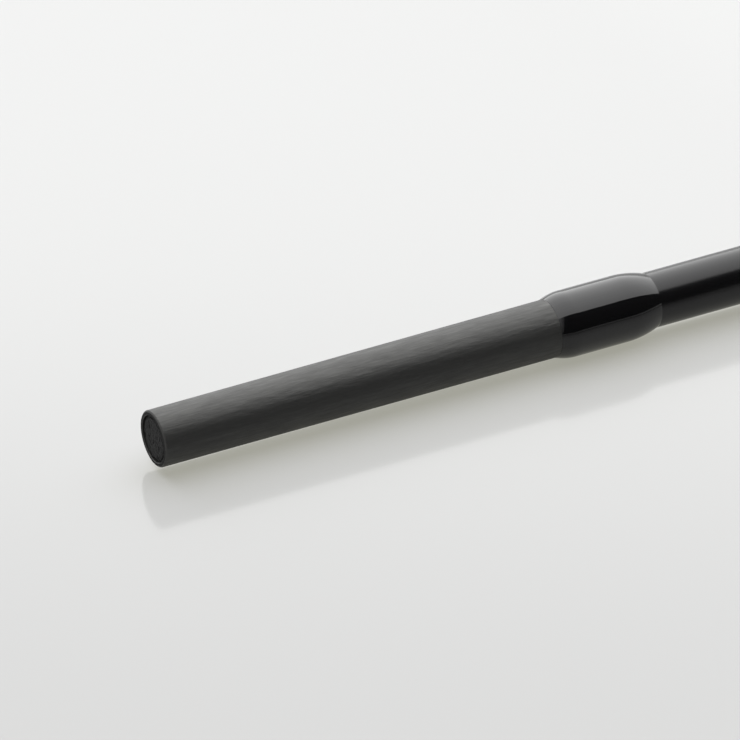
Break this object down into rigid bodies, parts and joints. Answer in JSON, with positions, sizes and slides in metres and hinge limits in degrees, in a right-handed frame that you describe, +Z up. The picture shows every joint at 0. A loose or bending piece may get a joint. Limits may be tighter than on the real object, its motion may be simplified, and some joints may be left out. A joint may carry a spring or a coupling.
{
  "type": "two-piece spod rod",
  "caption": "Two-piece casting rod lying on its side, tip section pulled off its ground male ferrule, with ringed guides, grips and a reel seat with a screw hood.",
  "frame": {"origin": "centre of the bounding box in plan, at the lowest point, which is the surface the rod lies on", "axes": "+X along the rod towards the butt, +Z up, guides and reel foot to the -Y side and about 13 degrees above level"},
  "size_m": [3.863, 0.0884, 0.0524],
  "materials": {
    "carbon": "clear-lacquered carbon laminate, ground bare and satin along the male ferrule",
    "plug": "rough dark filler",
    "whipping": "black thread under clear high-gloss resin",
    "grip_foam": "matt closed-cell foam",
    "butt_rubber": "matt black rubber",
    "seat_plastic": "satin moulded black",
    "dark_metal": "dark anodised, fine turned",
    "guide_metal": "black-plated stainless wire and strip",
    "ring_ceramic": "polished dark ceramic",
    "arbor": "rigid foam, hidden"
  },
  "bodies": {
    "butt_section": {"butt_blank": "carbon", "ferrule_end_plug": "plug", "ferrule_whipping": "whipping", "guide_50_frame": "guide_metal", "guide_50_ring": "ring_ceramic", "guide_50_front_whipping": "whipping", "guide_50_rear_whipping": "whipping", "fore_grip": "grip_foam", "fore_grip_check": "dark_metal", "reel_seat": "seat_plastic", "fixed_hood": "dark_metal", "seat_arbor_front": "arbor", "seat_arbor_rear": "arbor", "seat_rear_check": "dark_metal", "rear_grip": "grip_foam", "rear_grip_check": "dark_metal", "butt_cap": "butt_rubber", "butt_cap_disc": "dark_metal"},
    "tip_section": {"tip_blank": "carbon", "female_ferrule_whipping": "whipping", "guide_40_frame": "guide_metal", "guide_40_ring": "ring_ceramic", "guide_40_front_whipping": "whipping", "guide_40_rear_whipping": "whipping", "guide_30_frame": "guide_metal", "guide_30_ring": "ring_ceramic", "guide_30_front_whipping": "whipping", "guide_30_rear_whipping": "whipping", "guide_25_frame": "guide_metal", "guide_25_ring": "ring_ceramic", "guide_25_front_whipping": "whipping", "guide_25_rear_whipping": "whipping", "guide_20_frame": "guide_metal", "guide_20_ring": "ring_ceramic", "guide_20_front_whipping": "whipping", "guide_20_rear_whipping": "whipping", "guide_16_frame": "guide_metal", "guide_16_ring": "ring_ceramic", "guide_16_front_whipping": "whipping", "guide_16_rear_whipping": "whipping", "tip_top_frame": "guide_metal", "tip_top_ring": "ring_ceramic", "tip_top_whipping": "whipping"},
    "moving_hood": {"moving_hood": "dark_metal"},
    "lock_nut": {"lock_nut": "dark_metal"}
  },
  "joints": [
    {"name": "ferrule_slide", "type": "slide", "parent": "butt_section", "child": "tip_section", "axis": [1, 0, 0], "range_m": [0, 0.205]},
    {"name": "hood_slide", "type": "slide", "parent": "butt_section", "child": "moving_hood", "axis": [1, 0, 0], "range_m": [0, 0.024]},
    {"name": "nut_turn", "type": "hinge", "parent": "moving_hood", "child": "lock_nut", "pos_m": [1.2425, 0.02916, 0.015], "axis": [1, 0, 0], "range_deg": [0, 2880]}
  ],
  "couplings": [
    {"joint": "hood_slide", "follows": "nut_turn", "m_per_rad": 0.00047746}
  ]
}
